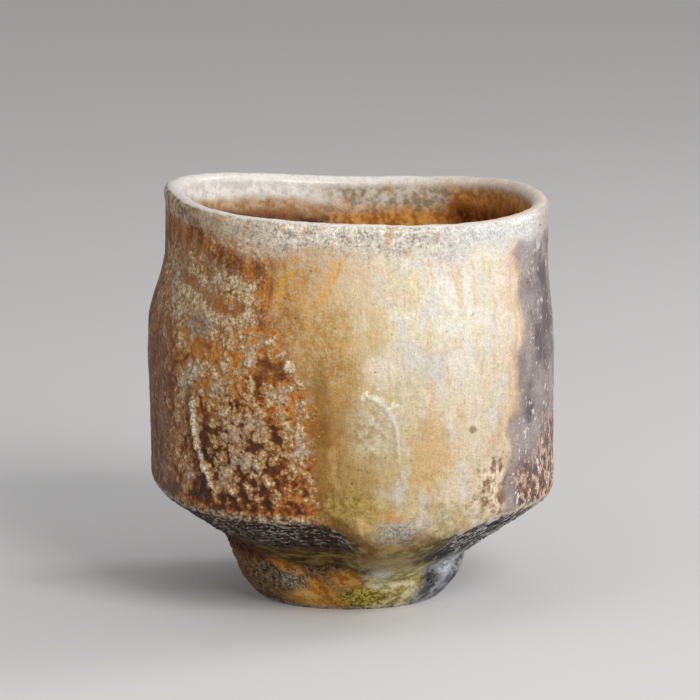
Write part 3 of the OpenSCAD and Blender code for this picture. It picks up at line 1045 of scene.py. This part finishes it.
@layered
def foot_colour(s):
    """The foot and neck: grey-brown, orange, olive and a scorched right side, with painted shade in its
    groove and a painted highlight on the right of the neck.
    """
    speckle = s.rise(s.grain + s.grit * 0.5 + s.mottle * 0.8, -0.12, 0.14)
    uneven = s.rise(s.small + s.mottle * 0.7, -0.14, 0.14)
    yield s.mixed(speckle, (66, 46, 26), (140, 116, 84))
    yield s.sector(-136, -61, 11) * 0.5, (124, 76, 34)
    rusty = s.belt(11, 15.5, 1.5) * s.sector(-86, -38, 6)
    yield rusty * 0.85, s.mixed(uneven, (70, 32, 4), (140, 80, 20))
    sunny = s.patch(-20, 3, 17, 2.8)
    yield sunny, s.mixed(uneven, (196, 136, 52), (228, 190, 116))
    run = (s.height - 13) + (s.bearing + 40) * 0.3 + s.torn * 3
    orange = s.fall(abs(run), 0.8, 4.0) * s.sector(-44, -2, 4)
    yield orange * 0.9, s.mixed(uneven, (150, 88, 20), (212, 146, 54))
    yield s.patch(-1, 8, 10, 2.6), s.mixed(uneven, (172, 108, 32), (220, 172, 88))
    slate = s.mixed(speckle, (88, 84, 66), (172, 170, 152))
    yield s.patch(-30, 7.6, 8, 2.0, soft=0.8) * 0.8, slate
    cream = s.mixed(uneven, (170, 154, 96), (224, 216, 176))
    yield s.band(s.loose_bearing + s.torn * 5, 8, 40, 5), cream
    streak = s.rise(s.scratches + s.mottle * 0.5, 0, 0.12)
    yield s.patch(27, 10, 12, 3.4) * streak * 0.8, (140, 128, 40)
    yield s.patch(12, 11.5, 4, 2.6) * 0.8, (206, 204, 196)
    olive = s.mixed(speckle, (110, 98, 14), (190, 174, 84))
    yield s.patch(9, 3.2, 15, 2.6), olive
    # Painted shade in the trimmed groove round the front of the neck.
    groove = s.belt(11.4, 13.2, 0.7) * s.sector(-30, 6, 4)
    yield groove, (58, 44, 8)
    steel = s.mixed(uneven, (84, 84, 88), (168, 170, 176))
    steely = s.rise(s.loose_bearing + s.torn * 4, 35, 45) * s.fall(s.loose_bearing + s.broad * 40, 84, 140)
    yield steely, steel
    yield s.patch(47, 6.8, 7, 2.0) * 0.9, s.mixed(speckle, (30, 28, 26), (96, 94, 94))
    # A painted highlight on the right of the neck, mottled.
    yield s.patch(56, 10.5, 9, 4) * (uneven * 0.5 + 0.45), (222, 226, 234)
    ring = s.fall(s.height + s.small, 0.2, 1.3)
    yield ring * 0.75, s.mixed(speckle, (130, 126, 116), (206, 202, 194))
    out = (s.axes[0] * s.axes[0] + s.axes[1] * s.axes[1]).maths("SQRT") + s.torn
    bare = s.dappled(s.small + s.middling * 0.8, -0.2, 0.2, (104, 74, 52), (148, 114, 84))
    yield s.fall(out, RECESS_RADIUS + 0.4, RECESS_RADIUS + 2.4), bare


def grained(s, colour, share=1.0):
    """A colour with the fine light and dark grain of fired ash."""
    return s.lit(colour, 1 + (s.grit * 0.75 + s.grain * 0.55 + s.mottle * 0.3) * share)


@layered
def wall_zones(s):
    """Every zone from the lip down to the knife cuts, each over the last."""
    yield back_colour(s)
    yield s.dark, dark_colour(s)
    yield s.spotted, spotted_colour(s)
    yield s.cream, cream_colour(s)
    depth = s.below_lip + s.middling * 8 + s.small * 6 + s.mottle * 4 + s.wide_runs * 10
    band = s.fall(depth, 2.5, 10) * s.sector(-84, 56, 4)
    hanging = (s.below_lip - LINER_LAP) * (s.middling * 1.6 + s.small * 1.2 + s.mottle * 1.2 + 0.9)
    yield (band * 0.9).maths("MAXIMUM", s.fall(hanging, 0.6, 4.2)), lip_band_colour(s)
    rust = s.dappled(s.runs + s.grain * 0.5, -0.14, 0.12, (104, 58, 22), (182, 116, 48))
    yield s.rust_run * 0.9, rust
    # Painted shade in the groove left of the raised ridge.
    yield s.weal_shade * 0.6, (66, 40, 22)
    pearl = s.dappled(s.grain + s.grit * 0.5, -0.15, 0.1, (150, 130, 96), (222, 210, 186))
    yield s.weal * 0.85, pearl
    edge = s.above_edge + s.small * 1.6
    turn = s.left_of(-16, -4) * s.right_of(-110, -90)
    crusted = s.band(edge + s.mottle * 2, -0.6, 1.3, 0.7) * turn
    speckle = s.dappled(s.grain + s.mottle * 0.6, -0.1, 0.12, (86, 68, 48), (196, 184, 160))
    yield crusted * 0.75, speckle
    # A painted highlight along the shoulder edge on the right.
    bright = s.band(edge, -0.4, 0.5, 0.5) * s.sector(40, 120, 5)
    yield bright * 0.75, (220, 210, 200)
    yield s.under, under_colour(s)


def wall_colour(s):
    return grained(s, wall_zones(s), 1 - s.cream * 0.35)


def trimmed_colour(s):
    """The foot ring and the neck over it, up to the knife cuts."""
    low = s.fall(s.height + s.small * 1.5 + s.mottle, 10.6, 13.2)
    return grained(s, s.mixed(low, under_colour(s), foot_colour(s)))


@layered
def inside_coats(s):
    """Pale glaze over the lip, partly painted highlight, turning to brown and ochre down the inside, where
    the darkening with depth is partly painted shade.
    """
    across = s.axes[0] + s.middling * 12 + s.small * 5
    depth = s.below_lip + s.middling * 4 + s.small * 3 + s.mottle * 2
    white = s.dappled(s.small + s.mottle * 0.5, -0.14, 0.14, (222, 217, 210), (248, 246, 242))
    tan = s.dappled(s.small + s.mottle * 0.5, -0.14, 0.14, (170, 128, 84), (206, 178, 146))
    brown = s.dappled(s.middling + s.mottle * 0.5, -0.16, 0.16, (90, 54, 28), (146, 100, 64))
    ochre = s.dappled(s.small + s.mottle * 0.9, -0.2, 0.2, (164, 98, 32), (218, 158, 78))
    dark = s.dappled(s.small + s.mottle * 0.6, -0.16, 0.16, (66, 28, 6), (146, 82, 26))
    # Each side darkens further down the inside: partly the glaze's colour, partly painted shade inside the
    # cup.
    left = s.mixed(s.rise(depth, 4.2, 6.4), white, tan)
    left = s.mixed(s.rise(depth, 7, 9.4), left, brown)
    grey = s.dappled(s.small + s.mottle * 0.7, -0.18, 0.12, (158, 146, 122), (218, 210, 196))
    middle = s.mixed(s.rise(s.noise(3.4, 3.0, seed=25) + s.mottle * 0.3, 0.46, 0.68) * 0.8, grey, ochre)
    middle = s.mixed(s.rise(depth, 4.5, 9), middle, ochre)
    right = s.mixed(s.rise(depth, 1.2, 4.4), tan, ochre)
    right = s.mixed(s.rise(depth, 3.6, 7.4), right, dark)
    yield s.mixed(s.rise(across, -12, 0), left, middle)
    yield s.rise(across, 18, 27), right
    hollow = s.mixed(s.rise(s.broad + s.small * 0.3, -0.2, 0.2) * 0.85, brown, ochre)
    yield s.rise(depth, 12, 30), hollow
    spots = s.rise(s.noise(2.2, 1.0, seed=28), 0.62, 0.7) * s.band(depth, 8, 20, 2) * s.fall(across, -6, 2)
    yield spots * 0.8, (70, 66, 72)
    pool = s.fall(s.height + s.small * 3, 15.2, 22)
    yield pool * 0.75, s.dappled(s.small, -0.15, 0.15, (88, 92, 52), (164, 156, 104))
    # The pale top of the lip: partly the glaze's own pale colour, partly a painted highlight along the lip.
    lip = s.mixed(s.rise(across, 12, 34) * 0.7, (232, 230, 226), (226, 206, 186))
    lip = s.mixed(s.rise(s.mottle, 0, 0.16) * 0.4, lip, (186, 172, 158))
    yield s.fall(s.turn_in + s.small * 0.8, 0.7, 1.3), lip


def inside_colour(s):
    return s.lit(inside_coats(s), 1 + s.grit * 0.3 + s.grain * 0.35 + s.mottle * 0.2)


def liner_colour(s):
    """The lip band up to the bright line of the lip, which is partly painted highlight, and the inside past
    it.
    """
    past = s.rise(s.turn_in + s.small * 0.2, 0.26, 0.36)
    return s.mixed(past, grained(s, lip_band_colour(s)), inside_colour(s))


def wall_roughness(s):
    """Melted ash is satin and char is dry."""
    return 0.5 + s.under * 0.25 - s.crust * 0.08 - s.dark * 0.08 + s.small * 0.2 + s.grit * 0.25


def foot_roughness(s):
    return 0.68 + s.small * 0.2 + s.grit * 0.25


def liner_roughness(s):
    return 0.5 - s.rise(s.turn_in, 0.3, 0.6) * 0.12 + s.small * 0.2 + s.grit * 0.25


def outside_bump(s):
    return s.grain * 0.22 + s.grit * 0.1 + s.mottle * 0.12


def liner_bump(s):
    return outside_bump(s) * (1 - s.rise(s.turn_in, 0.3, 0.6) * 0.6)


def finish(name, colour_of, roughness_of, bump_of, coat=0.0):
    """A fired surface: its colour, its gloss and the grain too fine for the mesh."""
    material = bpy.data.materials.new(name)
    material.use_nodes = True
    s = Surface(material.node_tree)
    bump = s.add("ShaderNodeBump", None, {"Height": bump_of(s), "Strength": 1.0, "Distance": MM})
    sockets = {
        "Base Color": colour_of(s),
        "Roughness": roughness_of(s),
        "Normal": bump,
        "Specular IOR Level": DRY_SHINE,
        "Coat Weight": coat,
        "Coat Roughness": COAT_ROUGHNESS,
    }
    shader = s.add("ShaderNodeBsdfPrincipled", None, sockets)
    s.add("ShaderNodeOutputMaterial", None, {"Surface": shader})
    return material


def coated(material, name, coat):
    """The same surface under a thin clear coat."""
    other = material.copy()
    other.name = name
    for node in other.node_tree.nodes:
        if node.bl_idname == "ShaderNodeBsdfPrincipled":
            node.inputs["Coat Weight"].default_value = coat
    return other


CLAY = finish("fired_clay", wall_colour, wall_roughness, outside_bump)
FOOT_CLAY = finish("trimmed_clay", trimmed_colour, foot_roughness, outside_bump)
ASH = coated(CLAY, "ash_glaze", ASH_GLOSS)
LINER = finish("liner_glaze", liner_colour, liner_roughness, liner_bump, coat=LINER_GLOSS)


def lip_ring(bearings, shares):
    """Radius and height over the rounded lip, from its outside to its inside."""
    z = lip_base(bearings)
    outer, inner = outer_radius(bearings, z), inner_radius(bearings, z)
    angle = math.pi * shares
    radius = (outer + inner) / 2 + (outer - inner) / 2 * np.cos(angle)
    return radius, z + LIP_ROUND * np.sin(angle)


def make_wall():
    shape = Outline(COLUMNS)
    edge, top = shoulder_line(shape.bearings), lip_base(shape.bearings)
    shape.outside(FLOOR_HEIGHT + (edge - FLOOR_HEIGHT) * steps(0, 1, CUT_ROWS, closed=False))
    shape.outside(edge + (top - edge) * steps(0, 1, WALL_ROWS, closed=False))
    over = steps(0, 1, LIP_ROWS, closed=False)
    shape.ring(*lip_ring(shape.bearings, over), relief=0.0, turn_in=over)
    z = FLOOR_HEIGHT + (top - FLOOR_HEIGHT) * steps(1, 0, INSIDE_ROWS)
    shape.ring(inner_radius(shape.bearings, z), z, relief=0.0, turn_in=2.0)
    points, height, relief, turn_in = shape.laid()
    normals = outer_normal(shape.bearings + 0 * height, height)
    faces = quads(len(points), COLUMNS, True, True)
    piece("fired_wall", "wall", CLAY, wall_under_ash, points, faces, normals, relief, turn_in)


def base_relief(s):
    """Knife cuts above and the trimmed neck below."""
    return clay_relief(s) * s.under + foot_relief(s) * (1 - s.under)


def make_base():
    under_rows, side_rows, top_rows = BASE_ROWS
    shape = Outline(COLUMNS)
    edge = outer_radius(shape.bearings, FOOT_HEIGHT)
    shape.ring(edge * steps(DISC_MIDDLE, 1, under_rows, closed=False), FOOT_HEIGHT, relief=0.0)
    shape.outside(FOOT_HEIGHT + (FLOOR_HEIGHT - FOOT_HEIGHT) * steps(0, 1, side_rows))
    edge = outer_radius(shape.bearings, FLOOR_HEIGHT)
    shape.ring(edge * steps(BASE_TOP_EDGE, DISC_MIDDLE, top_rows), FLOOR_HEIGHT, relief=0.0)
    grid, height, relief, _ = shape.laid()
    normals = outer_normal(shape.bearings + 0 * height, np.maximum(height, FOOT_HEIGHT + NORMAL_STEP))
    last = relief.size - COLUMNS
    faces = quads(len(grid), COLUMNS, False, True)
    faces += fan(range(COLUMNS), relief.size, flip=True)
    faces += fan(range(last, relief.size), relief.size + 1)
    points = joined(grid, [[0, 0, FOOT_HEIGHT], [0, 0, FLOOR_HEIGHT]])
    directions = joined(normals, [[0, 0, -1], [0, 0, 1]])
    relief = np.append(relief, [0, 0])
    piece("cut_base", "base", FOOT_CLAY, base_relief, points, faces, directions, relief)


def foot_outline(share):
    """Outer curve of the foot ring, from the table up to its top."""
    return FOOT_TOP_RADIUS - (FOOT_TOP_RADIUS - FOOT_BASE_RADIUS) * (1 - share) ** FOOT_CURVE


def make_foot():
    side_rows, recess_rows, face_rows = FOOT_ROWS
    shape = Outline(COLUMNS)
    share = steps(0, 1, side_rows)
    shape.ring(foot_outline(share), FOOT_HEIGHT * share, relief=np.clip(share / FOOT_FADE, 0, 1))
    share = steps(1, 0, recess_rows, closed=False)
    shape.ring(RECESS_RADIUS - RECESS_DRAFT * share, FOOT_HEIGHT * share, relief=0.0)
    face = RECESS_RADIUS + (FOOT_BASE_RADIUS - RECESS_RADIUS) * steps(0, FOOT_FACE_FILL, face_rows)
    shape.ring(face, 0.0, relief=0.0)
    points, _, relief, _ = shape.laid()
    points = points - np.array([FOOT_SHIFT, 0, 0])
    normals = unit(outward(points, True, True) * np.array([1, 1, 0]))
    faces = quads(len(points), COLUMNS, True, True)
    piece("trimmed_foot", "foot_ring", FOOT_CLAY, foot_relief, points, faces, normals, relief)


def liner_bed(lap_rows, lip_rows, inside_rows, floor_rows):
    """Points and turn_in up the lap, over the lip, down the inside and in to the middle of the floor."""
    shape = Outline(LINER_COLUMNS)
    top = lip_base(shape.bearings)
    shape.outside(top - LINER_LAP * steps(1, 0, lap_rows, closed=False))
    over = steps(0, 1, lip_rows, closed=False)
    shape.ring(*lip_ring(shape.bearings, over), turn_in=over)
    down = steps(0, 1, inside_rows)
    z = top + (FLOOR_HEIGHT - top) * down
    depth = (RIM_HEIGHT - FLOOR_HEIGHT) / LIP_WALL
    shape.ring(inner_radius(shape.bearings, z), z, turn_in=1 + down * depth)
    edge = inner_radius(shape.bearings, FLOOR_HEIGHT)
    radius = edge * steps(LINER_FLOOR_EDGE, DISC_MIDDLE, floor_rows)
    shape.ring(radius, FLOOR_HEIGHT, turn_in=1 + RIM_HEIGHT / LIP_WALL)
    points, _, _, turn_in = shape.laid()
    return points, turn_in


def make_liner():
    """A coat of glaze over the lip and down the inside, with a coarser back sunk in the clay."""
    face, turn_in = liner_bed(*LINER_ROWS)
    normals = outward(face, True, False)
    feather = np.clip((np.arange(len(face)) - 0.5) / FEATHER_ROWS, -LINER_SUNK, 1)
    face = face + normals * LINER_COAT * feather[:, None, None]
    back, _ = liner_bed(*LINER_BACK_ROWS)
    back = back - outward(back, True, False) * LINER_SUNK
    points = joined(face, back, [[0, 0, FLOOR_HEIGHT + LINER_COAT], [0, 0, FLOOR_HEIGHT]])
    size = turn_in.size
    faces = quads(len(face), LINER_COLUMNS, False, True)
    faces += [f[::-1] for f in quads(len(back), LINER_COLUMNS, False, True, size)]
    faces += fan(range(size - LINER_COLUMNS, size), len(points) - 2)
    faces += fan(range(len(points) - 2 - LINER_COLUMNS, len(points) - 2), len(points) - 1, flip=True)
    ring = np.arange(LINER_COLUMNS)
    beside = (ring + 1) % LINER_COLUMNS
    faces += np.stack([beside, ring, size + ring, size + beside], -1).tolist()
    relief = np.zeros(len(points))
    relief[SMOOTH_ROWS * LINER_COLUMNS : size] = 1
    turns = np.full(len(points), turn_in.max())
    turns[:size] = turn_in.ravel()
    directions = joined(normals, 0 * back, [[0, 0, 1], [0, 0, 1]])
    piece(
        "inner_glaze", "liner_glaze", LINER, liner_relief,
        points, faces, directions, relief, turns,
    )


def stitched(fine, coarse, stride):
    """Triangles between a fine edge and a coarse one that has a point at every stride."""
    faces = []
    for i, near in enumerate(coarse[:-1]):
        start = i * stride
        faces += [(fine[start + k], fine[start + k + 1], near) for k in range(stride)]
        faces.append((fine[start + stride], coarse[i + 1], near))
    return faces


def make_ash():
    """A thin sheet over the wall's faces, with a coarser back sunk in the clay."""
    bearings = np.linspace(ASH_FROM, ASH_TO, ASH_COLUMNS)[None, :]
    edge = shoulder_line(bearings)
    top = lip_base(bearings) - LINER_LAP
    z = edge + (top - edge) * steps(0, 1, ASH_ROWS)
    face = points_of(bearings, outer_radius(bearings, z), z)
    normals = outer_normal(bearings + 0 * z, z)
    back = (face - normals * ASH_SUNK)[::ASH_STRIDE, ::ASH_STRIDE]
    rows, columns = back.shape[:2]
    fine = np.arange(z.size).reshape(z.shape)
    coarse = z.size + np.arange(rows * columns).reshape(rows, columns)
    faces = quads(ASH_ROWS, ASH_COLUMNS, False, False)
    faces += [f[::-1] for f in quads(rows, columns, False, False, z.size)]
    faces += [f[::-1] for f in stitched(fine[0], coarse[0], ASH_STRIDE)]
    faces += stitched(fine[-1], coarse[-1], ASH_STRIDE)
    faces += stitched(fine[:, 0], coarse[:, 0], ASH_STRIDE)
    faces += [f[::-1] for f in stitched(fine[:, -1], coarse[:, -1], ASH_STRIDE)]
    relief = np.append(np.ones(z.size), np.zeros(rows * columns))
    points, directions = joined(face, back), joined(normals, 0 * back)
    piece("outer_ash", "ash_glaze", ASH, ash_relief, points, faces, directions, relief)


make_wall()
make_base()
make_foot()
make_liner()
make_ash()

# The photograph's view, as a real distance and the scale of its picture at the cup's axis
CAMERA_DISTANCE = 1100
CAMERA_RISE = 10
AIM_HEIGHT = 56
PIXELS_PER_MM = 4.37
PICTURE_WIDTH = 700
MIDDLE_PIXEL = 351
SENSOR_WIDTH = 36

# Half the width of the studio's floor, in metres
FLOOR_REACH = 4.0
FLOOR_ROUGHNESS = 0.8
# What the floor and the sky show the camera, and what they give as light
FLOOR_SHOWN, FLOOR_LIGHT = (219, 219, 221), (194, 194, 196)
SKY_SHOWN, SKY_LIGHT, SKY_POWER = (214, 214, 216), (1.0, 0.985, 0.96, 1.0), 0.4
# Area lamps: name, place, size, power and colour
LAMPS = (
    ("key", (520, -820, 640), 520, 9, (1.0, 0.97, 0.93)),
    ("rim", (700, 300, 500), 300, 2, (1.0, 1.0, 1.0)),
    ("fill", (-700, -600, 400), 600, 0.75, (1.0, 0.98, 0.95)),
)


def make_camera():
    data = bpy.data.cameras.new("camera")
    camera = bpy.data.objects.new("camera", data)
    bpy.context.scene.collection.objects.link(camera)
    data.sensor_width = SENSOR_WIDTH
    data.lens = SENSOR_WIDTH * PIXELS_PER_MM * CAMERA_DISTANCE / PICTURE_WIDTH
    rise = math.radians(CAMERA_RISE)
    aside = (PICTURE_WIDTH / 2 - MIDDLE_PIXEL) / PIXELS_PER_MM
    back = Vector((0, -math.cos(rise), math.sin(rise)))
    aim = Vector((AXIS_X + aside, AXIS_Y, AIM_HEIGHT))
    camera.location = (aim + back * CAMERA_DISTANCE) * MM
    camera.rotation_mode = "QUATERNION"
    camera.rotation_quaternion = (-back).to_track_quat("-Z", "Y")
    bpy.context.scene.camera = camera


def make_lamp(name, place, size, power, colour):
    data = bpy.data.lights.new(name, "AREA")
    data.size = size * MM
    data.energy = power
    data.color = colour
    lamp = bpy.data.objects.new(name, data)
    bpy.context.scene.collection.objects.link(lamp)
    lamp.location = Vector(place) * MM
    lamp.rotation_mode = "QUATERNION"
    target = Vector((0, 0, RIM_HEIGHT / 2)) * MM
    lamp.rotation_quaternion = (target - lamp.location).to_track_quat("-Z", "Y")


def make_floor():
    half = FLOOR_REACH
    corners = [(-half, -half, 0), (half, -half, 0), (half, half, 0), (-half, half, 0)]
    mesh = bpy.data.meshes.new("floor")
    mesh.from_pydata(corners, [], [(0, 1, 2, 3)])
    floor = bpy.data.objects.new("floor", mesh)
    bpy.context.scene.collection.objects.link(floor)
    material = bpy.data.materials.new("floor")
    material.use_nodes = True
    nodes = Nodes(material.node_tree)
    seen = nodes.add("ShaderNodeLightPath", out="Is Camera Ray")
    colour = nodes.mixed(seen, FLOOR_LIGHT, FLOOR_SHOWN)
    sockets = {"Base Color": colour, "Roughness": FLOOR_ROUGHNESS}
    shader = nodes.add("ShaderNodeBsdfPrincipled", None, sockets)
    nodes.add("ShaderNodeOutputMaterial", None, {"Surface": shader})
    mesh.materials.append(material)


def make_world():
    world = bpy.data.worlds.new("studio")
    world.use_nodes = True
    nodes = Nodes(world.node_tree)
    seen = nodes.add("ShaderNodeLightPath", out="Is Camera Ray")
    light = nodes.add("ShaderNodeBackground", None, {"Color": SKY_LIGHT, "Strength": SKY_POWER})
    shown = nodes.add("ShaderNodeBackground", None, {"Color": tint(*SKY_SHOWN), "Strength": 1.0})
    both = nodes.add("ShaderNodeMixShader", None, {0: seen, 1: light, 2: shown})
    nodes.add("ShaderNodeOutputWorld", None, {"Surface": both})
    bpy.context.scene.world = world


make_floor()
make_world()
make_camera()
for lamp in LAMPS:
    make_lamp(*lamp)
bpy.context.scene.view_settings.view_transform = "Standard"
